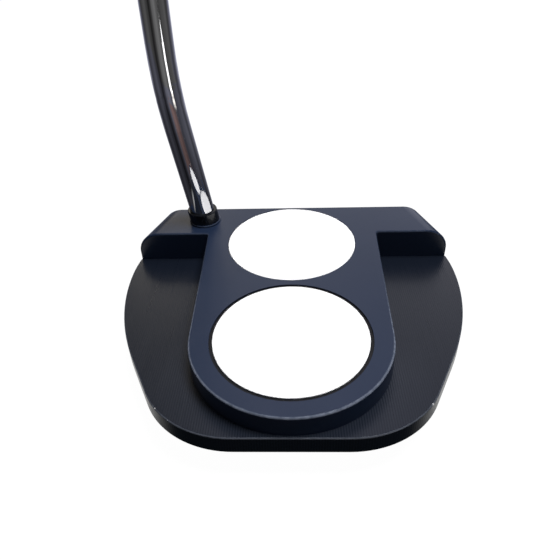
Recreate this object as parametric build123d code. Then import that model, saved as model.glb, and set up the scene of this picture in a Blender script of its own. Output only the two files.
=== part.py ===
from build123d import *
import os
from math import cos, radians, sin, tan

os.makedirs("parts", exist_ok=True)

# Row frame, millimetres: X towards the toe, Y towards the target, Z up.
# The origin lies on the flat of the sole, under the middle of the head.

# --- alignment discs and deck -------------------------------------------------
DISC_R = 21.335              # golf-ball radius
DISC_T = 2.4
DISC_PAD_T = 0.3
DISC_PAD_INSET = 1.0
DISC_EDGE_R = 0.15
DISC_GAP = 0.15              # side gap between a disc and its pocket
REAR_DISC_Y = -22.0
DISC_PITCH = 45.86           # along the deck
DECK_SLOPE = 3.05            # degrees, the deck falls towards the rear
DECK_Z = 21.8                # deck height over the rear disc centre
BEZEL_W = 0.95
BEZEL_T = 2.3

# --- head outline, right half -------------------------------------------------
PLATE_REAR_Y = -50.0
REAR_FLAT_HALF = 14.1
REAR_ARC_R = 27.0
REAR_ARC_DEG = 62.8
FLANK_L = 14.9               # straight flank between the rear arc and the side arc
SIDE_ARC_R = 92.5
SIDE_ARC_DEG = 27.2
SHOULDER_ARC_R = 60.0
SHOULDER_ARC_DEG = 8.5
TAPER = 0.355                # how fast the bar ends narrow towards the face
OUTLINE_FRONT_Y = 50.0

# --- bar and pedestal -----------------------------------------------------------
BAR_REAR_Y = 29.3
FACE_TOP_Y = 46.3
FACE_TOP_Z = 25.4
LOFT = 3.0                   # degrees
BAR_END_R = 7.0              # rounding of the two upper ends
FRONT_EDGE_R = 0.5
REAR_EDGE_R = 0.6
PED_REAR_R = 28.0
PED_CENTRE_Y = -21.2
PED_SPREAD_DEG = 1.3         # the sides open towards the bar
INNER_CORNER_R = 1.0
PLATE_TOP_Z = 14.3
PLATE_RIM_Z = 9.0
PLATE_EDGE_R = 0.45
CAMBER_X = 46.5              # the sole lifts beyond this half width
CAMBER_DEG = 20.0

# --- keel, sole plate -----------------------------------------------------------
KEEL_HALF_FRONT = 20.0
KEEL_HALF_REAR = 16.0
KEEL_REAR_Y = -36.0
KEEL_CORNER_R = 8.0
KEEL_TAPER = 18.0
SOLE_PLATE_T = 1.4
SOLE_GASKET_T = 0.3
SOLE_PLATE_HALF_FRONT = 13.0
SOLE_PLATE_HALF_REAR = 10.0
SOLE_PLATE_Y0, SOLE_PLATE_Y1 = -28.0, 25.0
SOLE_PLATE_CORNER_R = 3.0
CAVITY_HALF = 6.2
CAVITY_Y0, CAVITY_Y1 = -23.0, 20.0
CAVITY_TOP_Z = 9.0
SOLE_SCREW_SPOTS = [(9.4, 21.0), (-9.4, 21.0), (7.2, -24.2), (-7.2, -24.2)]

# --- screws -----------------------------------------------------------------------
SCREW_R = 1.5
SCREW_HEAD_R = 2.7
SCREW_HEAD_T = 1.5
SCREW_SINK = 0.2             # how far a head lies below its surface
SOCKET_R = 1.1
SOCKET_DEPTH = 1.0
WING_SCREW_SPOTS = [(23.6, 18.0), (-23.6, 18.0), (21.4, -23.0), (-21.4, -23.0)]
WING_SCREW_TOP_Z = 17.2
SOLE_SCREW_TOP_Z = 8.0

# --- pockets under the wings ---------------------------------------------------
POCKET_DEPTH = 2.4
POCKET_Y0, POCKET_Y1 = -13.0, 24.0
POCKET_X0 = 29.0
POCKET_RIM = 4.5
RIB_W = 1.6
RIB_SPOTS_Y = [-1.0, 11.0]

# --- face insert -------------------------------------------------------------------
INSERT_W, INSERT_H, INSERT_T = 68.0, 16.6, 3.0
INSERT_CORNER_R = 5.0
INSERT_TAPE_T = 0.2
INSERT_Z = 12.6
BACKER_W, BACKER_H, BACKER_T = 44.0, 10.0, 3.6
BACKER_CORNER_R = 3.0
GROOVE_W, GROOVE_DEPTH, GROOVE_PITCH = 0.5, 0.2, 1.35
GROOVES = 11

# --- sole weights ---------------------------------------------------------------------
WEIGHT_X, WEIGHT_Y = 39.5, 36.2
WEIGHT_HEAD_R = 5.7
WEIGHT_HEAD_T = 2.2
WEIGHT_SINK = 0.5
WEIGHT_EDGE_R = 0.3
WEIGHT_SHANK_R = 4.45
WEIGHT_SHANK_L = 6.6
WEIGHT_BORE_R = 4.50
WEIGHT_PORT_R = 6.05
WEIGHT_RUNOUT = 0.8
WASHER_T = 0.8
WASHER_R0, WASHER_R1 = 4.80, 5.60
PIN_HOLE_R, PIN_HOLE_X, PIN_HOLE_DEPTH = 0.75, 3.7, 1.2
DRIVE_HEX_R, DRIVE_DEPTH = 2.1, 3.0

# --- shaft ---------------------------------------------------------------------------
LIE = 70.0                   # degrees
CLUB_LENGTH = 863.6          # 34 inches along the main axis from the ground
TIP_R = 4.2
BEND_TOP_R = 4.65            # the tube swells to this above the bends
WALL = 0.6
TAPER_FROM = 6.0             # length of even tube above the deck
BOND_T = 0.15
BOND_DROP = 0.4              # the epoxy stops this far below the deck
BASE_X, BASE_Y = -31.2, 38.2
TIP_LEAN = 9.0               # degrees towards the heel
BORE_DEPTH = 15.5
TIP_LIFT = 0.3               # the tube and its epoxy end above the floor of the bore
BEND1_RISE = 47.3            # first bend, measured along the tip from the deck
BEND1_R = 120.0
BEND2 = Vector(-40.8, 47.5, 121.8)
BEND2_R = 60.0
CONE_START = 40.0            # along the main axis after the second bend
BUTT_R = 7.35
PLUG_L = 9.0
PLUG_LIFT = 0.5
PLUG_GAP = 0.03

# --- ferrule --------------------------------------------------------------------------
BOSS_R, BOSS_H = 5.5, 0.7
BOSS_EDGE_R = 0.3
FERRULE_R0, FERRULE_R1 = 5.2, 5.1
FERRULE_TOP = 4.6            # height of its level top over the deck
FERRULE_EDGE_R = 0.25
FERRULE_GAP = 0.03

# --- grip -------------------------------------------------------------------------------
GRIP_L = 267.0
GRIP_CORNER = 0.62           # share of the half width taken by each front corner
TAPE_T = 0.25
TAPE_INSET = 3.0             # the tape starts this far inside the mouth
BUTT_OVERHANG = 4.0          # rubber beyond the end of the tube
CAP_R, CAP_T = 8.6, 2.2
CAP_HUB_R, CAP_HUB_L = 5.4, 1.4
CAP_SEAT_RELIEF = 0.5
CAP_EDGE_R = 0.8
VENT_R = 1.4
# distance from the mouth, width, flat-front distance, back depth
GRIP_SECTIONS = [
    (0.0, 19.6, 8.8, 9.8),
    (14.0, 20.6, 9.2, 10.4),
    (70.0, 23.4, 9.9, 12.0),
    (140.0, 26.2, 10.6, 13.6),
    (195.0, 28.2, 11.2, 16.0),
    (235.0, 29.6, 11.6, 19.2),
    (262.0, 30.0, 11.8, 20.2),
    (267.0, 28.6, 11.0, 19.2),
]
GRIP_GROOVE_W, GRIP_GROOVE_DEPTH, GRIP_GROOVE_PITCH = 1.0, 0.5, 5.2
GRIP_GROOVE_FIRST, GRIP_GROOVES = 34.0, 36
GRIP_GROOVE_HALF = 4.6

# --- derived frames -----------------------------------------------------------------------
FAR = 200.0
PAST = 1.0                   # how far a cutter runs past the face it opens
DECK = Plane(
    origin=(0, REAR_DISC_Y, DECK_Z),
    x_dir=(1, 0, 0),
    z_dir=(0, -sin(radians(DECK_SLOPE)), cos(radians(DECK_SLOPE))),
)
FACE = Plane(
    origin=(0, FACE_TOP_Y + (FACE_TOP_Z - INSERT_Z) * tan(radians(LOFT)), INSERT_Z),
    x_dir=(-1, 0, 0),
    z_dir=(0, cos(radians(LOFT)), sin(radians(LOFT))),
)


def deck_height(y):
    return DECK_Z + (y - REAR_DISC_Y) * tan(radians(DECK_SLOPE))


BASE = Vector(BASE_X, BASE_Y, deck_height(BASE_Y))
TIP_DIR = Vector(-sin(radians(TIP_LEAN)), 0, cos(radians(TIP_LEAN)))
MAIN_DIR = Vector(-cos(radians(LIE)), 0, sin(radians(LIE)))
GROUND_POINT = BEND2 - MAIN_DIR * (BEND2.Z / MAIN_DIR.Z)
BUTT = GROUND_POINT + MAIN_DIR * CLUB_LENGTH
TUBE_END = BUTT - MAIN_DIR * BUTT_OVERHANG
GRIP_MOUTH = BUTT - MAIN_DIR * GRIP_L
CONE_FOOT = BEND2 + MAIN_DIR * CONE_START
BEND1 = BASE + TIP_DIR * BEND1_RISE
TIP_AXIS = Plane(origin=BASE, x_dir=(0, 1, 0), z_dir=TIP_DIR)
BOSS_AXIS = Plane(origin=BASE, x_dir=(1, 0, 0), z_dir=DECK.z_dir)


def cylinder_on(plane, radius, z0, z1, x=0.0, y=0.0):
    """Cylinder between two heights of a plane's own frame."""
    shape = Pos(x, y, z0) * Cylinder(radius, z1 - z0, align=(Align.CENTER, Align.CENTER, Align.MIN))
    return plane.location * shape


def cone_between(start, end, r_start, r_end):
    axis = end - start
    plane = Plane(origin=start, x_dir=(0, 1, 0), z_dir=axis)
    cone = Cone(r_start, r_end, axis.length, align=(Align.CENTER, Align.CENTER, Align.MIN))
    return plane.location * cone


def rounded_prism(plane, width, height, radius, z0, z1):
    sketch = RectangleRounded(width, height, radius)
    return plane.location * (Pos(0, 0, z0) * extrude(sketch, z1 - z0))


def head_outline():
    """Closed plan outline of the whole head."""
    with BuildSketch() as sketch:
        with BuildLine():
            rear = Line((0, PLATE_REAR_Y), (REAR_FLAT_HALF, PLATE_REAR_Y))
            turn = JernArc(rear @ 1, rear % 1, REAR_ARC_R, REAR_ARC_DEG)
            flank = Line(turn @ 1, turn @ 1 + (turn % 1) * FLANK_L)
            side = JernArc(flank @ 1, flank % 1, SIDE_ARC_R, SIDE_ARC_DEG)
            shoulder = JernArc(side @ 1, side % 1, SHOULDER_ARC_R, SHOULDER_ARC_DEG)
            foot = shoulder @ 1
            run = OUTLINE_FRONT_Y - foot.Y
            Polyline(foot, (foot.X - TAPER * run, OUTLINE_FRONT_Y), (0, OUTLINE_FRONT_Y))
            mirror(about=Plane.YZ)
        make_face()
    return sketch.sketch


def bar_outline():
    depth = OUTLINE_FRONT_Y - BAR_REAR_Y
    box = Pos(0, BAR_REAR_Y + depth / 2) * Rectangle(2 * FAR, depth)
    return head_outline() & box


def pedestal_outline():
    spread = radians(PED_SPREAD_DEG)
    touch_x = PED_REAR_R * cos(spread)
    touch_y = PED_CENTRE_Y - PED_REAR_R * sin(spread)
    front_y = BAR_REAR_Y + 1
    front_x = touch_x + (front_y - touch_y) * tan(spread)
    with BuildSketch() as sketch:
        with Locations((0, PED_CENTRE_Y)):
            Circle(PED_REAR_R)
        with BuildLine():
            Polyline(
                (touch_x, touch_y), (front_x, front_y),
                (-front_x, front_y), (-touch_x, touch_y),
                close=True,
            )
        make_face()
    return sketch.sketch


def trapezoid(half_front, half_rear, y0, y1, radius):
    points = [(half_front, y1), (-half_front, y1), (-half_rear, y0), (half_rear, y0)]
    with BuildSketch() as sketch:
        with BuildLine():
            Polyline(*points, close=True)
        make_face()
        fillet(sketch.vertices().sort_by(Axis.Y)[:2], radius)
    return sketch.sketch


def keel_outline():
    return trapezoid(KEEL_HALF_FRONT, KEEL_HALF_REAR, KEEL_REAR_Y, BAR_REAR_Y + 1, KEEL_CORNER_R)


def above_deck():
    return DECK.location * Box(2 * FAR, 2 * FAR, FAR, align=(Align.CENTER, Align.CENTER, Align.MIN))


def ahead_of_face():
    return FACE.location * Box(2 * FAR, 2 * FAR, FAR, align=(Align.CENTER, Align.CENTER, Align.MIN))


def countersunk_screw(x, y, face_z, top_z):
    """Upright screw whose head lies in a face that looks down."""
    head_z = face_z + SCREW_SINK
    screw = Pos(x, y, head_z) * Cone(
        SCREW_HEAD_R, SCREW_R, SCREW_HEAD_T, align=(Align.CENTER, Align.CENTER, Align.MIN))
    screw += cylinder_on(Plane.XY, SCREW_R, head_z + SCREW_HEAD_T, top_z, x, y)
    socket = Pos(x, y, head_z) * extrude(RegularPolygon(SOCKET_R, 6), SOCKET_DEPTH)
    return screw - socket


def screw_cutter(x, y, face_z, top_z):
    """Hole for one of the upright screws, open downwards."""
    head_z = face_z + SCREW_SINK
    hole = cylinder_on(Plane.XY, SCREW_HEAD_R, face_z - PAST, head_z, x, y)
    hole += Pos(x, y, head_z) * Cone(
        SCREW_HEAD_R, SCREW_R, SCREW_HEAD_T, align=(Align.CENTER, Align.CENTER, Align.MIN))
    hole += cylinder_on(Plane.XY, SCREW_R, head_z, top_z, x, y)
    return hole


def end_top_edges(shape):
    """The two upper edges where the bar ends meet the deck."""
    found = []
    for edge in shape.edges():
        middle = edge.center()
        if abs(middle.X) > WEIGHT_X and abs(middle.Z - deck_height(middle.Y)) < 0.01:
            found.append(edge)
    return found


def bar_solid():
    bar = extrude(bar_outline(), 2 * FACE_TOP_Z)
    bar -= above_deck()
    bar -= ahead_of_face()
    return fillet(end_top_edges(bar), BAR_END_R)


def t_block():
    """Bar and pedestal with their inner corners and upper edges rounded."""
    pedestal = Pos(0, 0, PLATE_TOP_Z) * extrude(pedestal_outline(), FACE_TOP_Z)
    pedestal -= above_deck()
    block = bar_solid() + pedestal
    inner = [
        e for e in block.edges().filter_by(Axis.Z)
        if abs(e.center().Y - BAR_REAR_Y) < 0.1 and abs(e.center().X) < WEIGHT_X
    ]
    block = fillet(inner, INNER_CORNER_R)
    block = fillet(face_rim_edges(block), FRONT_EDGE_R)
    return fillet(deck_rear_edges(block), REAR_EDGE_R)


def face_rim_edges(shape):
    """Edges all round the striking face."""
    rim = []
    for edge in shape.edges():
        ends = [edge @ 0, edge @ 0.5, edge @ 1]
        on_face = all(abs(FACE.to_local_coords(p).Z) < 0.01 for p in ends)
        if on_face:
            rim.append(edge)
    return rim


def deck_rear_edges(shape):
    """Edges between the deck and the walls that look rearwards or sideways."""
    found = []
    for edge in shape.edges():
        ends = [edge @ 0, edge @ 0.5, edge @ 1]
        on_deck = all(abs(DECK.to_local_coords(p).Z) < 0.01 for p in ends)
        on_wall = all(abs(p.Y - BAR_REAR_Y) < 0.01 for p in ends)
        shoulder = on_wall and edge.geom_type == GeomType.CIRCLE and edge.center().Z > PLATE_TOP_Z
        behind = all(p.Y < BAR_REAR_Y + 0.01 for p in ends)
        if (on_deck and behind) or shoulder:
            found.append(edge)
    return found


def keel_solid():
    upper = Pos(0, 0, PLATE_RIM_Z) * extrude(keel_outline(), PLATE_TOP_Z - PLATE_RIM_Z + 0.5)
    flipped = Plane(origin=(0, 0, PLATE_RIM_Z), x_dir=(1, 0, 0), z_dir=(0, 0, 1)).location * keel_outline()
    lower = extrude(flipped, -PLATE_RIM_Z, taper=KEEL_TAPER)
    return upper + lower


def sole_camber():
    """Wedges that lift the sole towards heel and toe."""
    wedges = []
    for side in (-1, 1):
        wedge = Box(FAR, FAR, FAR, align=(Align.MIN, Align.CENTER, Align.MAX))
        turned = Rot(0, -CAMBER_DEG, 0) * wedge
        placed = Pos(CAMBER_X, 0, 0) * turned
        wedges.append(placed if side > 0 else mirror(placed, Plane.YZ))
    return wedges


def head_body():
    body = t_block() + keel_solid()
    for wedge in sole_camber():
        body -= wedge
    body += ferrule_boss()
    pocket_depth = DISC_T + DISC_PAD_T
    body -= cylinder_on(DECK, DISC_R + DISC_GAP, -pocket_depth, PAST, 0, DISC_PITCH)
    body -= cylinder_on(DECK, DISC_R + BEZEL_W, -pocket_depth, PAST)
    body -= cylinder_on(TIP_AXIS, TIP_R + BOND_T, -BORE_DEPTH, BOSS_H + 2 * PAST)
    recess = INSERT_T + INSERT_TAPE_T
    body -= rounded_prism(FACE, INSERT_W, INSERT_H, INSERT_CORNER_R, -recess, PAST)
    body -= rounded_prism(FACE, BACKER_W, BACKER_H, BACKER_CORNER_R, -recess - BACKER_T, 0)
    cover = trapezoid(SOLE_PLATE_HALF_FRONT, SOLE_PLATE_HALF_REAR,
                      SOLE_PLATE_Y0, SOLE_PLATE_Y1, SOLE_PLATE_CORNER_R)
    body -= Pos(0, 0, -PAST) * extrude(cover, PAST + SOLE_PLATE_T + SOLE_GASKET_T)
    length = CAVITY_Y1 - CAVITY_Y0
    middle = (CAVITY_Y1 + CAVITY_Y0) / 2
    body -= Pos(0, middle, CAVITY_TOP_Z / 2) * Box(2 * CAVITY_HALF, length, CAVITY_TOP_Z)
    for x, y in SOLE_SCREW_SPOTS:
        body -= cylinder_on(Plane.XY, SCREW_R, 0, SOLE_SCREW_TOP_Z, x, y)
    for x, y in WING_SCREW_SPOTS:
        body -= cylinder_on(Plane.XY, SCREW_R, PLATE_RIM_Z, WING_SCREW_TOP_Z, x, y)
    for x in (-WEIGHT_X, WEIGHT_X):
        seat = WEIGHT_SINK + WEIGHT_HEAD_T + WASHER_T
        body -= cylinder_on(Plane.XY, WEIGHT_PORT_R, -PAST, seat, x, WEIGHT_Y)
        top = WEIGHT_SINK + WEIGHT_HEAD_T + WEIGHT_SHANK_L + WEIGHT_RUNOUT
        body -= cylinder_on(Plane.XY, WEIGHT_BORE_R, 0, top, x, WEIGHT_Y)
    return body


def ferrule_boss():
    """Low round boss on the deck at the foot of the shaft."""
    boss = cylinder_on(BOSS_AXIS, BOSS_R, -2, BOSS_H)
    rim = boss.edges().filter_by(GeomType.CIRCLE).sort_by(Axis.Z)[-1]
    return fillet(rim, BOSS_EDGE_R)


def wing_plate():
    depth = BAR_REAR_Y - PLATE_REAR_Y + 10
    front_cut = Pos(0, BAR_REAR_Y - depth / 2) * Rectangle(2 * FAR, depth)
    sketch = head_outline() & front_cut
    plate = Pos(0, 0, PLATE_RIM_Z) * extrude(sketch, PLATE_TOP_Z - PLATE_RIM_Z)
    rim = [e for e in plate.edges() if e.center().Z > PLATE_TOP_Z - 0.01
           and abs(e.center().Y - BAR_REAR_Y) > 0.01]
    plate = fillet(rim, PLATE_EDGE_R)
    under = [e for e in plate.edges() if e.center().Z < PLATE_RIM_Z + 0.01
             and abs(e.center().Y - BAR_REAR_Y) > 0.01]
    plate = fillet(under, PLATE_EDGE_R)
    plate -= extrude(keel_outline(), PLATE_TOP_Z + PAST)
    plate -= wing_pocket()
    plate -= mirror(wing_pocket(), Plane.YZ)
    for x, y in WING_SCREW_SPOTS:
        plate -= screw_cutter(x, y, PLATE_RIM_Z, PLATE_TOP_Z + PAST)
    return plate


def wing_pocket():
    """Weight-saving pocket under one wing, crossed by ribs."""
    inner = offset(head_outline(), -POCKET_RIM)
    length = POCKET_Y1 - POCKET_Y0
    window = Pos(POCKET_X0 + FAR / 2, (POCKET_Y0 + POCKET_Y1) / 2) * Rectangle(FAR, length)
    area = inner & window
    for y in RIB_SPOTS_Y:
        area -= Pos(POCKET_X0, y) * Rectangle(FAR, RIB_W)
    return Pos(0, 0, PLATE_RIM_Z - PAST) * extrude(area, POCKET_DEPTH + PAST)


def wing_screws():
    return [countersunk_screw(x, y, PLATE_RIM_Z, WING_SCREW_TOP_Z) for x, y in WING_SCREW_SPOTS]


def sole_plate():
    sketch = trapezoid(SOLE_PLATE_HALF_FRONT, SOLE_PLATE_HALF_REAR,
                       SOLE_PLATE_Y0, SOLE_PLATE_Y1, SOLE_PLATE_CORNER_R)
    plate = extrude(sketch, SOLE_PLATE_T)
    for x, y in SOLE_SCREW_SPOTS:
        plate -= screw_cutter(x, y, 0, SOLE_PLATE_T + PAST)
    return plate


def sole_gasket():
    outer = trapezoid(SOLE_PLATE_HALF_FRONT, SOLE_PLATE_HALF_REAR,
                      SOLE_PLATE_Y0, SOLE_PLATE_Y1, SOLE_PLATE_CORNER_R)
    length = CAVITY_Y1 - CAVITY_Y0
    middle = (CAVITY_Y1 + CAVITY_Y0) / 2
    sketch = outer - Pos(0, middle) * Rectangle(2 * CAVITY_HALF, length)
    gasket = Pos(0, 0, SOLE_PLATE_T) * extrude(sketch, SOLE_GASKET_T)
    for x, y in SOLE_SCREW_SPOTS:
        gasket -= screw_cutter(x, y, 0, SOLE_PLATE_T + PAST)
    return gasket


def sole_screws():
    return [countersunk_screw(x, y, 0, SOLE_SCREW_TOP_Z) for x, y in SOLE_SCREW_SPOTS]


def disc(y):
    shape = cylinder_on(DECK, DISC_R, -DISC_T, 0, 0, y)
    rim = shape.edges().filter_by(GeomType.CIRCLE).sort_by(Axis.Z)[-1]
    return fillet(rim, DISC_EDGE_R)


def disc_pad(y):
    return cylinder_on(DECK, DISC_R - DISC_PAD_INSET, -DISC_T - DISC_PAD_T, -DISC_T, 0, y)


def rear_disc_bezel():
    bottom = -DISC_T - DISC_PAD_T
    ring = cylinder_on(DECK, DISC_R + BEZEL_W, bottom, bottom + BEZEL_T)
    return ring - cylinder_on(DECK, DISC_R, bottom - PAST, PAST)


def face_insert():
    insert = rounded_prism(FACE, INSERT_W, INSERT_H, INSERT_CORNER_R, -INSERT_T, 0)
    for i in range(GROOVES):
        y = (i - (GROOVES - 1) / 2) * GROOVE_PITCH
        slot = Pos(0, y, 0) * Box(INSERT_W + 2 * PAST, GROOVE_W, 2 * GROOVE_DEPTH)
        insert -= FACE.location * slot
    return insert


def insert_tape():
    tape = rounded_prism(FACE, INSERT_W, INSERT_H, INSERT_CORNER_R, -INSERT_T - INSERT_TAPE_T, -INSERT_T)
    return tape


def insert_backer():
    top = -INSERT_T - INSERT_TAPE_T
    return rounded_prism(FACE, BACKER_W, BACKER_H, BACKER_CORNER_R, top - BACKER_T, top)


def sole_weight(x):
    head_top = WEIGHT_SINK + WEIGHT_HEAD_T
    weight = cylinder_on(Plane.XY, WEIGHT_HEAD_R, WEIGHT_SINK, head_top, x, WEIGHT_Y)
    rim = weight.edges().filter_by(GeomType.CIRCLE).sort_by(Axis.Z)[0]
    weight = fillet(rim, WEIGHT_EDGE_R)
    weight += cylinder_on(Plane.XY, WEIGHT_SHANK_R, head_top, head_top + WEIGHT_SHANK_L, x, WEIGHT_Y)
    weight -= Pos(x, WEIGHT_Y, WEIGHT_SINK) * extrude(RegularPolygon(DRIVE_HEX_R, 6), DRIVE_DEPTH)
    for side in (-1, 1):
        hole_x = x + side * PIN_HOLE_X
        weight -= cylinder_on(Plane.XY, PIN_HOLE_R, 0, WEIGHT_SINK + PIN_HOLE_DEPTH, hole_x, WEIGHT_Y)
    return weight


def weight_washer(x):
    z0 = WEIGHT_SINK + WEIGHT_HEAD_T
    ring = cylinder_on(Plane.XY, WASHER_R1, z0, z0 + WASHER_T, x, WEIGHT_Y)
    return ring - cylinder_on(Plane.XY, WASHER_R0, z0 - PAST, z0 + WASHER_T + PAST, x, WEIGHT_Y)


def bend(before, corner, after, radius):
    """Tangent points and midpoint of the arc that rounds one corner of the shaft."""
    back = (before - corner).normalized()
    ahead = (after - corner).normalized()
    half = radians((-back).get_angle(ahead)) / 2
    reach = radius * tan(half)
    bisector = (back + ahead).normalized()
    centre = corner + bisector * (radius / cos(half))
    start = corner + back * reach
    end = corner + ahead * reach
    return start, centre - bisector * radius, end


def bent_rod(low_r, high_r):
    """Solid tapering rod round both bends, up to the start of the cone."""
    foot = BASE + TIP_DIR * TAPER_FROM
    a0, a1, a2 = bend(foot, BEND1, BEND2, BEND1_R)
    b0, b1, b2 = bend(BEND1, BEND2, CONE_FOOT, BEND2_R)
    path = Wire([
        Edge.make_line(foot, a0),
        Edge.make_three_point_arc(a0, a1, a2),
        Edge.make_line(a2, b0),
        Edge.make_three_point_arc(b0, b1, b2),
        Edge.make_line(b2, CONE_FOOT),
    ])
    low = Plane(origin=foot, x_dir=(0, 1, 0), z_dir=TIP_DIR) * Circle(low_r)
    high = Plane(origin=CONE_FOOT, x_dir=(0, 1, 0), z_dir=MAIN_DIR) * Circle(high_r)
    return sweep([low, high], path=path, multisection=True)


def whole_rod(inset, foot, top):
    """The shaft as a solid rod, its surface set in by a distance."""
    rod = cylinder_on(TIP_AXIS, TIP_R - inset, foot, TAPER_FROM)
    rod += bent_rod(TIP_R - inset, BEND_TOP_R - inset)
    return rod + cone_between(CONE_FOOT, top, BEND_TOP_R - inset, BUTT_R - inset)


def shaft():
    outer = whole_rod(0, -BORE_DEPTH + TIP_LIFT, TUBE_END)
    return outer - whole_rod(WALL, -BORE_DEPTH - PAST, TUBE_END + MAIN_DIR)


def cone_radius(point):
    """Outer radius of the tube at a point of its tapered length."""
    share = (point - CONE_FOOT).length / (TUBE_END - CONE_FOOT).length
    return BEND_TOP_R + (BUTT_R - BEND_TOP_R) * share


def shaft_bond():
    sleeve = cylinder_on(TIP_AXIS, TIP_R + BOND_T, -BORE_DEPTH + TIP_LIFT, -BOND_DROP)
    return sleeve - cylinder_on(TIP_AXIS, TIP_R, -BORE_DEPTH, 0)


def shaft_plug():
    radius = TIP_R - WALL - PLUG_GAP
    bottom = -BORE_DEPTH + PLUG_LIFT
    return cylinder_on(TIP_AXIS, radius, bottom, bottom + PLUG_L)


def ferrule():
    """Leaning collar whose top and bottom lie level with the deck."""
    low = BASE - TIP_DIR * FERRULE_TOP
    high = BASE + TIP_DIR * 2 * FERRULE_TOP
    collar = cone_between(low, high, FERRULE_R0, FERRULE_R1)
    collar -= cylinder_on(BOSS_AXIS, 3 * BOSS_R, FERRULE_TOP, 3 * FERRULE_TOP)
    collar -= cylinder_on(BOSS_AXIS, 3 * BOSS_R, -2 * FERRULE_TOP, BOSS_H)
    rim = collar.edges().sort_by(Axis.Z)[-1]
    collar = fillet(rim, FERRULE_EDGE_R)
    return collar - cylinder_on(TIP_AXIS, TIP_R + FERRULE_GAP, -FERRULE_TOP, 3 * FERRULE_TOP)


def grip_plane(distance):
    """Plane across the shaft: local X is +Y of the row, local Y looks at the flat front."""
    return Plane(origin=GRIP_MOUTH + MAIN_DIR * distance, x_dir=(0, 1, 0), z_dir=MAIN_DIR)


def grip_section(distance, width, flat, back):
    """One D-shaped section: flat front, full rounded back."""
    half = width / 2
    corner = half * GRIP_CORNER
    s = 1 if grip_plane(distance).y_dir.X > 0 else -1
    front_left = (-half + corner, s * flat)
    front_right = (half - corner, s * flat)
    with BuildSketch(grip_plane(distance)) as sketch:
        with BuildLine():
            Line(front_left, front_right)
            Spline(front_right, (half, 0), tangents=[(1, 0), (0, -s)])
            Spline((half, 0), (0, -s * back), tangents=[(0, -s), (-1, 0)])
            Spline((0, -s * back), (-half, 0), tangents=[(-1, 0), (0, s)])
            Spline((-half, 0), front_left, tangents=[(0, s), (1, 0)])
        make_face()
    return sketch.sketch


def grip():
    body = loft([grip_section(*row) for row in GRIP_SECTIONS])
    body -= cone_between(
        GRIP_MOUTH - MAIN_DIR * PAST, TUBE_END,
        cone_radius(GRIP_MOUTH - MAIN_DIR * PAST) + TAPE_T, BUTT_R + TAPE_T)
    top = grip_plane(GRIP_L)
    body -= cylinder_on(top, CAP_R, -CAP_T, PAST)
    body -= cylinder_on(top, CAP_HUB_R, -BUTT_OVERHANG - CAP_SEAT_RELIEF, PAST)
    for i in range(GRIP_GROOVES):
        distance = GRIP_GROOVE_FIRST + i * GRIP_GROOVE_PITCH
        body -= grip_groove(distance)
    return body


def flat_front_at(distance):
    """Distance of the flat front from the axis, between the listed sections."""
    for low, high in zip(GRIP_SECTIONS, GRIP_SECTIONS[1:]):
        if low[0] <= distance <= high[0]:
            share = (distance - low[0]) / (high[0] - low[0])
            return low[2] + (high[2] - low[2]) * share
    return GRIP_SECTIONS[-1][2]


def grip_groove(distance):
    plane = grip_plane(distance)
    s = 1 if plane.y_dir.X > 0 else -1
    depth = 2 * GRIP_GROOVE_DEPTH
    slot = Box(2 * GRIP_GROOVE_HALF, depth, GRIP_GROOVE_W)
    return plane.location * (Pos(0, s * flat_front_at(distance), 0) * slot)


def grip_tape():
    start = GRIP_MOUTH + MAIN_DIR * TAPE_INSET
    outer = cone_between(start, TUBE_END, cone_radius(start) + TAPE_T, BUTT_R + TAPE_T)
    longer = TUBE_END + MAIN_DIR
    back = start - MAIN_DIR
    slope = (BUTT_R - BEND_TOP_R) / (TUBE_END - CONE_FOOT).length
    inner = cone_between(back, longer, cone_radius(start) - slope, BUTT_R + slope)
    return outer - inner


def grip_cap():
    top = grip_plane(GRIP_L)
    cap = cylinder_on(top, CAP_R, -CAP_T, 0)
    rim = cap.edges().filter_by(GeomType.CIRCLE).sort_by(Axis.Z)[-1]
    cap = fillet(rim, CAP_EDGE_R)
    cap += cylinder_on(top, CAP_HUB_R, -CAP_T - CAP_HUB_L, -CAP_T)
    return cap - cylinder_on(top, VENT_R, -BUTT_OVERHANG - CAP_HUB_L, PAST)


def save(name, shape):
    if isinstance(shape, (list, tuple)):
        shape = Compound(children=list(shape))
    export_step(shape, f"parts/{name}.step")


save("head_body", head_body())
save("wing_plate", wing_plate())
save("wing_screws", wing_screws())
save("sole_plate", sole_plate())
save("sole_gasket", sole_gasket())
save("sole_screws", sole_screws())
save("front_disc", disc(DISC_PITCH))
save("rear_disc", disc(0))
save("front_disc_pad", disc_pad(DISC_PITCH))
save("rear_disc_pad", disc_pad(0))
save("rear_disc_bezel", rear_disc_bezel())
save("face_insert", face_insert())
save("insert_tape", insert_tape())
save("insert_backer", insert_backer())
save("heel_weight", sole_weight(-WEIGHT_X))
save("toe_weight", sole_weight(WEIGHT_X))
save("heel_weight_washer", weight_washer(-WEIGHT_X))
save("toe_weight_washer", weight_washer(WEIGHT_X))
save("shaft", shaft())
save("shaft_bond", shaft_bond())
save("shaft_plug", shaft_plug())
save("ferrule", ferrule())
save("grip", grip())
save("grip_tape", grip_tape())
save("grip_cap", grip_cap())
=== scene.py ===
from math import cos, pi, radians, sin

import bpy
from mathutils import Matrix, Vector


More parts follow.
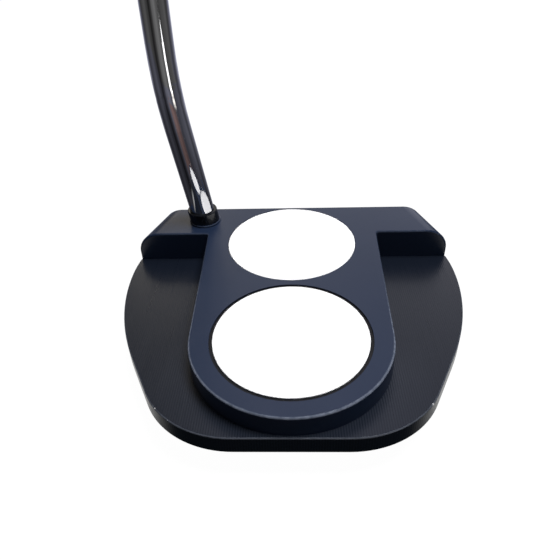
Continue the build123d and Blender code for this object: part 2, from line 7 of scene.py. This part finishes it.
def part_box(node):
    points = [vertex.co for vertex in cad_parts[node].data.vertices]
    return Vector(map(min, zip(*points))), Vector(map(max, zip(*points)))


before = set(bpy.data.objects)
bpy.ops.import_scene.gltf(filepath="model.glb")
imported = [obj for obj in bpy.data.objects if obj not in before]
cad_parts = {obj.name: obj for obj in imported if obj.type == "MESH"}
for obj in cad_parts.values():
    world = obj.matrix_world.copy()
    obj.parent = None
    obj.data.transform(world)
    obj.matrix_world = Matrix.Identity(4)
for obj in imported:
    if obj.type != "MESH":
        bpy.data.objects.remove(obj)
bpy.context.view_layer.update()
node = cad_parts


# --- camera -------------------------------------------------------------------------------

CAMERA_AT = (0.00195, -0.13028, 0.11563)    # metres
LOOK_DOWN = 34.84            # degrees below the horizon
LOOK_LEFT = 2.34             # degrees from +Y
ROLL = 1.90                  # degrees
LENS = 33.9                  # millimetres, on the sensor below
SENSOR = 36
NEAR_CLIP = 0.005            # metres
FAR_CLIP = 50


def make_camera():
    """The view of the photograph: the head from behind and above."""
    down, left = radians(LOOK_DOWN), radians(LOOK_LEFT)
    ahead = Vector((-sin(left) * cos(down), cos(left) * cos(down), -sin(down)))
    level = Vector((cos(left), sin(left), 0))
    up = level.cross(ahead)
    roll = radians(-ROLL)
    right = level * cos(roll) + up * sin(roll)
    top = right.cross(ahead)
    data = bpy.data.cameras.new("camera")
    data.lens = LENS
    data.sensor_width = SENSOR
    data.clip_start = NEAR_CLIP
    data.clip_end = FAR_CLIP
    camera = bpy.data.objects.new("camera", data)
    bpy.context.scene.collection.objects.link(camera)
    basis = Matrix((right, top, -ahead)).transposed()
    camera.matrix_world = Matrix.Translation(CAMERA_AT) @ basis.to_4x4()
    bpy.context.scene.camera = camera


# --- node trees ---------------------------------------------------------------------------

NOISE_SPAN = (0.3, 0.7)      # where most of a noise's values lie
COAT_SOCKETS = {
    "color": "Base Color", "metal": "Metallic", "rough": "Roughness", "spec": "Specular IOR Level",
}


def rgb(r, g, b):
    """A colour as Blender's sockets take it, with full alpha."""
    return (r, g, b, 1.0)


def grey(level):
    return rgb(level, level, level)


def centre_of(name):
    """Middle of a CAD node's box."""
    low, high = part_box(name)
    return (low + high) / 2


class Graph:
    """A node tree with short calls for the nodes used here."""

    def __init__(self, owner):
        owner.use_nodes = True
        self.owner = owner
        self.tree = owner.node_tree
        self.nodes = self.tree.nodes

    def add(self, kind):
        return self.nodes.new("ShaderNode" + kind)

    def link(self, a, b):
        self.tree.links.new(a, b)

    def feed(self, socket, value):
        """Sets a socket to a number or colour, or links another node's output to it."""
        if isinstance(value, (int, float, tuple)):
            socket.default_value = value
        else:
            self.link(value, socket)

    def math(self, kind, a, b=0.0):
        n = self.add("Math")
        n.operation = kind
        self.feed(n.inputs[0], a)
        self.feed(n.inputs[1], b)
        return n.outputs[0]

    def product(self, a, b):
        return self.math("MULTIPLY", a, b)

    def length(self, x, y):
        """Length of the vector (x, y)."""
        squares = self.math("ADD", self.product(x, x), self.product(y, y))
        return self.math("SQRT", squares)

    def axes(self, vector):
        n = self.add("SeparateXYZ")
        self.link(vector, n.inputs[0])
        return list(n.outputs)

    def remap(self, value, span, low, high):
        """Low to high as a value crosses a span, and level beyond it."""
        n = self.add("MapRange")
        self.link(value, n.inputs["Value"])
        n.inputs["From Min"].default_value = span[0]
        n.inputs["From Max"].default_value = span[1]
        n.inputs["To Min"].default_value = low
        n.inputs["To Max"].default_value = high
        return n.outputs["Result"]

    def rise(self, value, span):
        return self.remap(value, span, 0.0, 1.0)

    def drop(self, value, span):
        return self.remap(value, span, 1.0, 0.0)

    def mix(self, factor, a, b, kind="MIX"):
        n = self.add("Mix")
        n.data_type = "RGBA"
        n.blend_type = kind
        self.feed(n.inputs["Factor"], factor)
        self.feed(n.inputs[6], a)
        self.feed(n.inputs[7], b)
        return n.outputs[2]

    def times(self, a, b):
        """Two colours multiplied."""
        return self.mix(1.0, a, b, "MULTIPLY")


class Coat(Graph):
    """A piece's material, patterned in the frame's own metres."""

    def __init__(self, name):
        super().__init__(bpy.data.materials.new(name))
        self.shader = self.nodes["Principled BSDF"]
        self.place = self.add("TexCoord").outputs["Object"]

    def scaled(self, x, y, z):
        n = self.add("Mapping")
        self.link(self.place, n.inputs["Vector"])
        n.inputs["Scale"].default_value = (x, y, z)
        return n.outputs["Vector"]

    def noise(self, scale, detail=3.0, rough=0.5, vector=None):
        n = self.add("TexNoise")
        self.link(vector or self.place, n.inputs["Vector"])
        n.inputs["Scale"].default_value = scale
        n.inputs["Detail"].default_value = detail
        n.inputs["Roughness"].default_value = rough
        return n.outputs["Fac"]

    def spots(self, scale):
        n = self.add("TexVoronoi")
        self.link(self.place, n.inputs["Vector"])
        n.inputs["Scale"].default_value = scale
        return n.outputs["Distance"]

    def rounded_rim(self):
        """1 on roundings between an upper face and a wall, 0 on both of those."""
        normal = self.add("NewGeometry").outputs["Normal"]
        lift = self.axes(normal)[2]
        above_wall = self.rise(lift, (0.1, 0.35))
        below_top = self.drop(lift, (0.9, 0.985))
        return self.product(above_wall, below_top)

    def near(self, point, reach):
        """1 at a point of the frame, fading to 0 at the reach, with a ragged outline."""
        n = self.add("VectorMath")
        n.operation = "DISTANCE"
        self.link(self.place, n.inputs[0])
        n.inputs[1].default_value = point
        core = reach * 0.8
        ragged = self.product(self.noise(2500, 2), core)
        return self.drop(self.math("ADD", n.outputs["Value"], ragged), (core, reach))

    def set(self, **values):
        for key, value in values.items():
            self.feed(self.shader.inputs[COAT_SOCKETS[key]], value)

    def tones(self, pattern, low, high):
        """Colour between two tones, as a pattern goes from 0 to 1."""
        self.set(color=self.mix(pattern, rgb(*low), rgb(*high)))

    def matt(self, pattern, low, high, span=NOISE_SPAN):
        """Roughness between two values, as a pattern crosses a span."""
        self.set(rough=self.remap(pattern, span, low, high))

    def bump(self, height, distance, strength):
        """Adds relief on top of any relief that the shader already has."""
        n = self.add("Bump")
        self.link(height, n.inputs["Height"])
        n.inputs["Distance"].default_value = distance
        n.inputs["Strength"].default_value = strength
        previous = self.shader.inputs["Normal"]
        if previous.is_linked:
            self.link(previous.links[0].from_socket, n.inputs["Normal"])
        self.link(n.outputs["Normal"], previous)


# --- materials ----------------------------------------------------------------------------

# Painted highlight on the painted body's rims: they are lighter out to this distance from the middle,
# and mostly at the back.
HIGHLIGHT_ACROSS = (0.045, 0.048)
HIGHLIGHT_BEHIND = (-0.02, 0.01)

MILL_PITCH = 0.00065         # from one pass of the mill to the next on the wings
MILL_WANDER = 0.0004         # sideways
# Painted highlight: the crests of the passes are coloured lighter at the back, near the raised deck,
# where light catches them.
RIDGE_GLINT_AROUND = (0.029, 0.040)    # metres from the rear disc's centre
RIDGE_GLINT_BEHIND = (-0.03, -0.015)

# Where the black is knocked off the rim of the wings, and how far each chip reaches.
CHIPS = (
    ((0.0356, -0.0396, 0.0142), 0.0010),
    ((-0.0343, -0.0406, 0.0142), 0.0003),
    ((-0.0303, -0.0444, 0.0142), 0.00025),
)

TURNING_PITCH = 0.0003       # from ring to ring on the weights and washers
TURNED_LIGHTER = 1.15        # the lighter tone of turned steel over the darker one


def satin_navy():
    """Satin blue paint, with a painted highlight along the rims at the back."""
    g = Coat("satin_navy")
    x, y = g.axes(g.place)[:2]
    base = g.mix(g.noise(45, 4), rgb(0.0110, 0.0190, 0.042), rgb(0.0140, 0.0235, 0.050))
    inboard = g.drop(g.math("ABSOLUTE", x), HIGHLIGHT_ACROSS)
    rearward = g.remap(y, HIGHLIGHT_BEHIND, 1.0, 0.15)
    rim = g.product(g.product(g.rounded_rim(), inboard), rearward)
    # Painted highlight: the rounded rims at the back are mixed towards a light blue.
    painted_rim_highlight = g.product(rim, g.remap(g.noise(700, 3), (0.3, 0.6), 0.5, 1.0))
    g.set(color=g.mix(painted_rim_highlight, base, rgb(0.15, 0.17, 0.22)), spec=0.5)
    satin = g.remap(g.noise(160, 5, 0.6), NOISE_SPAN, 0.29, 0.34)
    g.set(rough=g.math("SUBTRACT", satin, g.product(rim, 0.1)))
    g.bump(g.noise(2600, 3, 0.6), 0.00001, 0.5)
    return g.owner


def milled_black():
    """Black anodised wings, milled in fine straight passes from front to rear."""
    g = Coat("milled_black")
    x, y = g.axes(g.place)[:2]
    wandered = g.math("ADD", x, g.product(g.noise(60, 2), MILL_WANDER))
    passes = g.math("SINE", g.product(wandered, 2 * pi / MILL_PITCH))
    crest = g.rise(passes, (-1, 1))
    streaks = g.noise(900, 3, 0.6, g.scaled(1, 0.02, 1))
    tone = g.product(g.math("ADD", crest, streaks), 0.5)
    base = g.mix(tone, rgb(0.0050, 0.0072, 0.0130), rgb(0.0080, 0.0108, 0.0180))

    from_disc = g.length(x, g.math("SUBTRACT", y, centre_of("rear_disc")[1]))
    around = g.remap(from_disc, RIDGE_GLINT_AROUND, 0.7, 0.0)
    ridge_glint = g.product(around, g.drop(y, RIDGE_GLINT_BEHIND))
    # Painted highlight on the crests of the passes near the raised deck; the passes themselves are real
    # relief, bumped below.
    base = g.mix(g.product(ridge_glint, crest), base, rgb(0.022, 0.026, 0.036))

    # Painted highlight along the wings' rounded rim; the chips mixed in after it are real wear where the
    # black is knocked off.
    rim = g.product(g.rounded_rim(), g.remap(g.noise(420, 3), NOISE_SPAN, 0.6, 1.0))
    rim_highlight_and_chips = g.mix(rim, base, rgb(0.08, 0.088, 0.108))
    for point, reach in CHIPS:
        rim_highlight_and_chips = g.mix(g.near(point, reach), rim_highlight_and_chips, rgb(0.55, 0.55, 0.56))
    g.set(color=rim_highlight_and_chips, spec=0.5)
    g.matt(streaks, 0.27, 0.34)
    g.bump(passes, 0.00002, 0.3)
    g.bump(g.noise(5000, 3, 0.6, g.scaled(1, 0.03, 1)), 0.00001, 0.4)
    return g.owner


def white_disc():
    g = Coat("white_disc")
    g.tones(g.noise(120, 4), (0.90, 0.90, 0.90), (0.94, 0.94, 0.94))
    g.matt(g.noise(300, 4), 0.34, 0.42)
    g.bump(g.noise(1800, 3), 0.000008, 0.4)
    return g.owner


def dull_black(name="dull_black", rough=0.6):
    g = Coat(name)
    g.tones(g.noise(400, 3), (0.006, 0.006, 0.007), (0.011, 0.011, 0.012))
    g.matt(g.noise(900, 3), rough - 0.06, rough + 0.06)
    g.bump(g.noise(3000, 3), 0.00002, 0.5)
    return g.owner


def chrome():
    """Chromed tube with faint haze and scratches along it."""
    g = Coat("shaft_chrome")
    g.tones(g.noise(90, 5, 0.6), (0.70, 0.70, 0.72), (0.78, 0.78, 0.79))
    scratch = g.noise(1400, 4, 0.7, g.scaled(1, 1, 0.05))
    g.set(metal=1.0)
    g.matt(scratch, 0.045, 0.09, (0.35, 0.75))
    g.bump(scratch, 0.000002, 0.25)
    return g.owner


def polished_black():
    g = Coat("polished_black")
    g.tones(g.noise(200, 3), (0.004, 0.005, 0.007), (0.008, 0.009, 0.012))
    g.matt(g.noise(700, 4), 0.12, 0.22)
    g.bump(g.noise(1500, 3), 0.000004, 0.3)
    return g.owner


def blasted_metal():
    """Bead-blasted aluminium of the striking plate."""
    g = Coat("blasted_metal")
    g.tones(g.noise(60, 3), (0.50, 0.51, 0.54), (0.58, 0.59, 0.62))
    grain = g.noise(5200, 3, 0.6)
    g.set(metal=1.0)
    g.matt(grain, 0.34, 0.5)
    g.bump(grain, 0.00001, 0.6)
    return g.owner


def brushed_black():
    """Dark plate brushed from front to rear."""
    g = Coat("brushed_black")
    streak = g.noise(3600, 4, 0.65, g.scaled(1, 0.015, 1))
    g.tones(streak, (0.016, 0.016, 0.02), (0.035, 0.035, 0.04))
    g.set(metal=0.6)
    g.matt(streak, 0.3, 0.45)
    g.bump(streak, 0.000008, 0.6)
    return g.owner


def turned_steel(name, centre, color):
    """Steel with fine turning rings about an upright axis."""
    g = Coat(name)
    x, y = g.axes(g.place)[:2]
    radius = g.length(g.math("SUBTRACT", x, centre[0]), g.math("SUBTRACT", y, centre[1]))
    rings = g.math("SINE", g.product(radius, 2 * pi / TURNING_PITCH))
    g.tones(g.noise(500, 3), color, [part * TURNED_LIGHTER for part in color])
    g.set(metal=1.0)
    g.matt(g.noise(1200, 3), 0.22, 0.34)
    g.bump(rings, 0.000004, 0.6)
    return g.owner


def blackened_steel():
    g = Coat("blackened_steel")
    g.tones(g.noise(700, 3), (0.05, 0.05, 0.055), (0.09, 0.09, 0.095))
    g.set(metal=1.0)
    g.matt(g.noise(1500, 4), 0.28, 0.42)
    g.bump(g.noise(3000, 3), 0.000006, 0.5)
    return g.owner


def grip_rubber():
    """Pebbled black rubber."""
    g = Coat("grip_rubber")
    g.tones(g.noise(70, 4), (0.012, 0.012, 0.013), (0.02, 0.02, 0.021))
    g.set(spec=0.4)
    g.matt(g.noise(500, 4), 0.6, 0.75)
    g.bump(g.spots(900), 0.00012, 0.6)
    return g.owner


def hidden_plain(name, low, high, rough):
    """For inner pieces: two tones of their colour with a light grain."""
    g = Coat(name)
    g.tones(g.noise(300, 4), low, high)
    g.matt(g.noise(800, 3), rough - 0.05, rough + 0.05)
    g.bump(g.noise(1600, 3), 0.00002, 0.5)
    return g.owner


def dress(material, *names):
    """Gives CAD nodes a material."""
    for name in names:
        item = node[name]
        if not item.material_slots:
            item.data.materials.append(material)
        for slot in item.material_slots:
            slot.material = material


def dress_head():
    dress(satin_navy(), "head_body")
    dress(milled_black(), "wing_plate")
    dress(white_disc(), "front_disc", "rear_disc")
    dress(dull_black(), "rear_disc_bezel", "sole_gasket")
    dress(polished_black(), "ferrule")
    dress(blasted_metal(), "face_insert")
    dress(brushed_black(), "sole_plate")
    dress(blackened_steel(), "wing_screws", "sole_screws")
    pad_foam = hidden_plain("pad_foam", (0.02, 0.02, 0.022), (0.03, 0.03, 0.032), 0.8)
    dress(pad_foam, "front_disc_pad", "rear_disc_pad")
    polymer = hidden_plain("backer_polymer", (0.02, 0.05, 0.2), (0.03, 0.07, 0.26), 0.3)
    dress(polymer, "insert_backer")


def dress_weights():
    for side in ("heel", "toe"):
        weight = f"{side}_weight"
        washer = f"{side}_weight_washer"
        dress(turned_steel(f"{side}_weight_steel", centre_of(weight), (0.42, 0.42, 0.43)), weight)
        dress(turned_steel(f"{side}_washer_steel", centre_of(washer), (0.3, 0.3, 0.31)), washer)


def dress_shaft_and_grip():
    dress(chrome(), "shaft")
    dress(grip_rubber(), "grip")
    dress(dull_black("cap_black", 0.5), "grip_cap")
    tape = hidden_plain("bond_tape", (0.55, 0.5, 0.38), (0.65, 0.6, 0.48), 0.6)
    dress(tape, "insert_tape", "grip_tape")
    dress(hidden_plain("epoxy", (0.4, 0.34, 0.2), (0.5, 0.42, 0.26), 0.3), "shaft_bond")
    dress(hidden_plain("plug_cork", (0.3, 0.2, 0.11), (0.42, 0.3, 0.18), 0.8), "shaft_plug")


# --- floor and world ----------------------------------------------------------------------

# What polished metal sees around the foot of the shaft: degrees from -Y towards +X, brightness.
AROUND = (
    (-180, 0.60), (-140, 0.35), (-118, 0.11), (-102, 0.05), (-66, 0.095), (-46, 0.055),
    (-28, 0.016), (-18, 0.04), (-2, 0.14), (12, 0.18), (28, 0.11), (45, 0.055),
    (71, 0.085), (91, 0.105), (113, 0.055), (143, 0.16), (162, 0.40), (180, 0.60),
)
WHOLE_TURN = (-180, 180)
WARM_AT = 18                 # the middle of the warm part of the near floor, in the same degrees
WARM_EDGE = (14, 22)         # degrees from its middle
WARM_REACH = (0.60, 0.75)    # metres from the foot of the shaft

STREAK_AT = 41.0             # a tall window behind the player, in the same degrees
STREAK_EDGE = (4.8, 8.0)     # degrees from its middle
STREAK_REACH = (0.65, 1.1)   # metres from the foot of the shaft
WINDOW_COLOR = (1.5, 1.42, 1.32)

# The soft room ahead of the face, as the satin top reflects it: sideways direction, brightness.
WALL = (
    (-0.4, 0.05), (-0.31, 0.9), (-0.23, 2.4), (-0.15, 0.3),
    (0.05, 0.75), (0.25, 1.0), (0.4, 0.85), (0.49, 0.05),
)
CEILING = (
    (-0.45, 0.3), (-0.26, 0.18), (-0.19, 0.12), (-0.13, 0.75),
    (0.0, 0.8), (0.13, 0.36), (0.3, 0.5),
)
SIDEWAYS = (-0.5, 0.5)

FLOOR_SIZE = 12
FLOOR_DROP = 0.0002          # below the sole
HEAD_REACH = (0.066, 0.078)  # metres from the origin, where the floor close to the head ends
BEHIND_HEAD = (-0.046, -0.026)    # where the close floor turns from dark to light in reflections
BOUNCE_EDGE = (-0.06, 0.02)  # where the light that the floor throws on matt pieces grows, going forward
SHAFT_SHADE = (0.08, 0.35)   # metres from the foot of the shaft, where reflections of the floor brighten
FLOOR_GLOW = 0.985           # the lamp on top of this makes it full white
FLOOR_CATCH = 0.05           # how much of the lamp's light it takes up


class Backdrop(Graph):
    """The floor's or the world's node tree, with what each kind of ray sees of it."""

    def __init__(self, owner, glow_kind, output_kind):
        super().__init__(owner)
        self.nodes.clear()
        self.glow_kind = glow_kind
        self.surface = self.add(output_kind).inputs["Surface"]
        self.rays = self.add("LightPath").outputs

    def glow(self, color, strength=1.0):
        n = self.add(self.glow_kind)
        self.feed(n.inputs["Color"], color)
        self.feed(n.inputs["Strength"], strength)
        return n.outputs[0]

    def blend(self, factor, a, b):
        n = self.add("MixShader")
        self.link(factor, n.inputs[0])
        self.link(a, n.inputs[1])
        self.link(b, n.inputs[2])
        return n.outputs[0]

    def heading(self, x, y):
        """Degrees of the direction (x, y), from -Y towards +X."""
        turn = self.math("ARCTAN2", x, self.product(y, -1.0))
        return self.product(turn, 180 / pi)

    def follow(self, value, span, stops):
        """Brightness that follows a short list of (value, level) stops within a span."""
        n = self.add("ValToRGB")
        n.color_ramp.interpolation = "EASE"
        marks = n.color_ramp.elements
        while len(marks) < len(stops):
            marks.new(0.5)
        low, high = span
        for mark, (at, level) in zip(marks, stops):
            mark.position = (at - low) / (high - low)
            mark.color = grey(level)
        self.link(self.rise(value, span), n.inputs["Fac"])
        return n.outputs["Color"]


def far_floor(g, x, y):
    """What reflections see of the floor away from the head: bands around the shaft's foot."""
    foot = centre_of("ferrule")
    dx = g.math("SUBTRACT", x, foot[0])
    dy = g.math("SUBTRACT", y, foot[1])
    angle = g.heading(dx, dy)
    distance = g.length(dx, dy)
    bands = g.follow(angle, WHOLE_TURN, AROUND)
    off_warm = g.math("ABSOLUTE", g.math("SUBTRACT", angle, WARM_AT))
    warm = g.product(g.drop(distance, WARM_REACH), g.drop(off_warm, WARM_EDGE))
    tint = g.mix(warm, rgb(0.93, 0.95, 1.2), rgb(1.2, 0.78, 0.75))
    shade = g.remap(distance, SHAFT_SHADE, 0.4, 1.0)
    seen = g.times(g.times(bands, tint), g.mix(shade, grey(0), grey(1)))
    # Painted reflection: to glossy rays only, the floor glows in the window's colour along the window's
    # heading, so the window's streak runs on down the chrome.
    off_streak = g.math("ABSOLUTE", g.math("SUBTRACT", angle, STREAK_AT))
    streak = g.product(g.drop(off_streak, STREAK_EDGE), g.rise(distance, STREAK_REACH))
    return g.mix(streak, seen, rgb(*WINDOW_COLOR))


def reflected_floor(g, place, x, y):
    """What reflections see of the floor: dark close behind the head, light close beside it."""
    close = g.mix(g.rise(y, BEHIND_HEAD), rgb(0.012, 0.016, 0.02), grey(0.9))
    reach = g.add("VectorMath")
    reach.operation = "LENGTH"
    g.link(place, reach.inputs[0])
    return g.mix(g.rise(reach.outputs["Value"], HEAD_REACH), close, far_floor(g, x, y))


def shown_floor(g):
    """White to the camera."""
    matt = g.add("BsdfDiffuse")
    matt.inputs["Color"].default_value = grey(FLOOR_CATCH)
    shown = g.add("AddShader")
    g.link(g.glow(grey(1), FLOOR_GLOW), shown.inputs[0])
    g.link(matt.outputs[0], shown.inputs[1])
    return shown.outputs[0]


def make_floor():
    """White to the camera, darker and patterned to other rays, and clear from below."""
    bpy.ops.mesh.primitive_plane_add(size=FLOOR_SIZE, location=(0, 0, -FLOOR_DROP))
    floor = bpy.context.object
    floor.name = "floor"
    g = Backdrop(bpy.data.materials.new("floor_white"), "Emission", "OutputMaterial")
    geometry = g.add("NewGeometry").outputs
    place = geometry["Position"]
    x, y = g.axes(place)[:2]
    bounce = g.mix(g.rise(y, BOUNCE_EDGE), rgb(0.06, 0.085, 0.11), grey(0.55))
    unseen = g.mix(g.rays["Is Glossy Ray"], bounce, reflected_floor(g, place, x, y))
    above = g.blend(g.rays["Is Camera Ray"], g.glow(unseen), shown_floor(g))
    clear = g.add("BsdfTransparent").outputs[0]
    g.link(g.blend(geometry["Backfacing"], above, clear), g.surface)
    floor.data.materials.append(g.owner)


# Heights of the direction looked in, and how far ahead it points, where the world changes.
DIM_ABOVE = (0.25, 0.6)
CEILING_FROM = (0.53, 0.57)
OVERHEAD_FROM = (0.70, 0.82)
AHEAD_FROM = (0.1, 0.6)
WARM_TO_COOL = (-0.25, 0.1)  # sideways


def make_world():
    """White to the camera; to other rays a room with a bright wall ahead of the face."""
    world = bpy.data.worlds.new("studio")
    bpy.context.scene.world = world
    g = Backdrop(world, "Background", "OutputWorld")
    x, y, z = g.axes(g.add("TexCoord").outputs["Generated"])
    dim = rgb(0.03, 0.035, 0.045)
    bands = g.follow(g.heading(x, y), WHOLE_TURN, AROUND)
    reflected = g.mix(g.rise(z, DIM_ABOVE), bands, dim)
    room = g.mix(g.rays["Is Glossy Ray"], dim, reflected)
    wall = g.follow(x, SIDEWAYS, WALL)
    overhead = g.mix(g.rise(z, OVERHEAD_FROM), grey(1), rgb(1.5, 1.55, 1.85))
    ceiling = g.times(g.follow(x, SIDEWAYS, CEILING), overhead)
    front = g.mix(g.rise(z, CEILING_FROM), wall, ceiling)
    tint = g.mix(g.rise(x, WARM_TO_COOL), rgb(1.04, 0.97, 0.86), rgb(1.0, 0.98, 1.06))
    unseen = g.mix(g.rise(y, AHEAD_FROM), room, g.times(front, tint))
    g.link(g.blend(g.rays["Is Camera Ray"], g.glow(unseen), g.glow(grey(1))), g.surface)


# --- lights -------------------------------------------------------------------------------

OVERHEAD_AT = (0.32, 0.0, 1.25)
OVERHEAD_SIZE = (0.5, 0.5)
OVERHEAD_POWER = 20          # watts
WINDOW_AWAY = 2              # metres from the foot of the shaft
WINDOW_HIGH = 0.195          # its middle
WINDOW_SIZE = (0.46, 0.62)
WINDOW_POWER = 1.35


def area_light(name, shape, at, aim, size, power):
    """A lamp that faces a point and that the camera doesn't see."""
    data = bpy.data.lights.new(name, "AREA")
    data.shape = shape
    data.size, data.size_y = size
    data.energy = power
    lamp = bpy.data.objects.new(name, data)
    bpy.context.scene.collection.objects.link(lamp)
    lamp.location = at
    direction = Vector(aim) - Vector(at)
    lamp.rotation_mode = "QUATERNION"
    lamp.rotation_quaternion = direction.to_track_quat("-Z", "Y")
    lamp.visible_camera = False
    return lamp


def make_lights():
    """A soft lamp for the even light, and a window that only shows in reflections."""
    overhead = area_light("overhead", "RECTANGLE", OVERHEAD_AT, (0, 0, 0), OVERHEAD_SIZE, OVERHEAD_POWER)
    overhead.visible_glossy = False
    foot = centre_of("ferrule")
    turn = radians(STREAK_AT)
    at = (foot[0] + WINDOW_AWAY * sin(turn), foot[1] - WINDOW_AWAY * cos(turn), WINDOW_HIGH)
    aim = (foot[0], foot[1], WINDOW_HIGH)
    window = area_light("window", "ELLIPSE", at, aim, WINDOW_SIZE, WINDOW_POWER)
    window.visible_diffuse = False


make_camera()
make_world()
make_floor()
make_lights()
dress_head()
dress_weights()
dress_shaft_and_grip()
bpy.context.scene.view_settings.view_transform = "Standard"
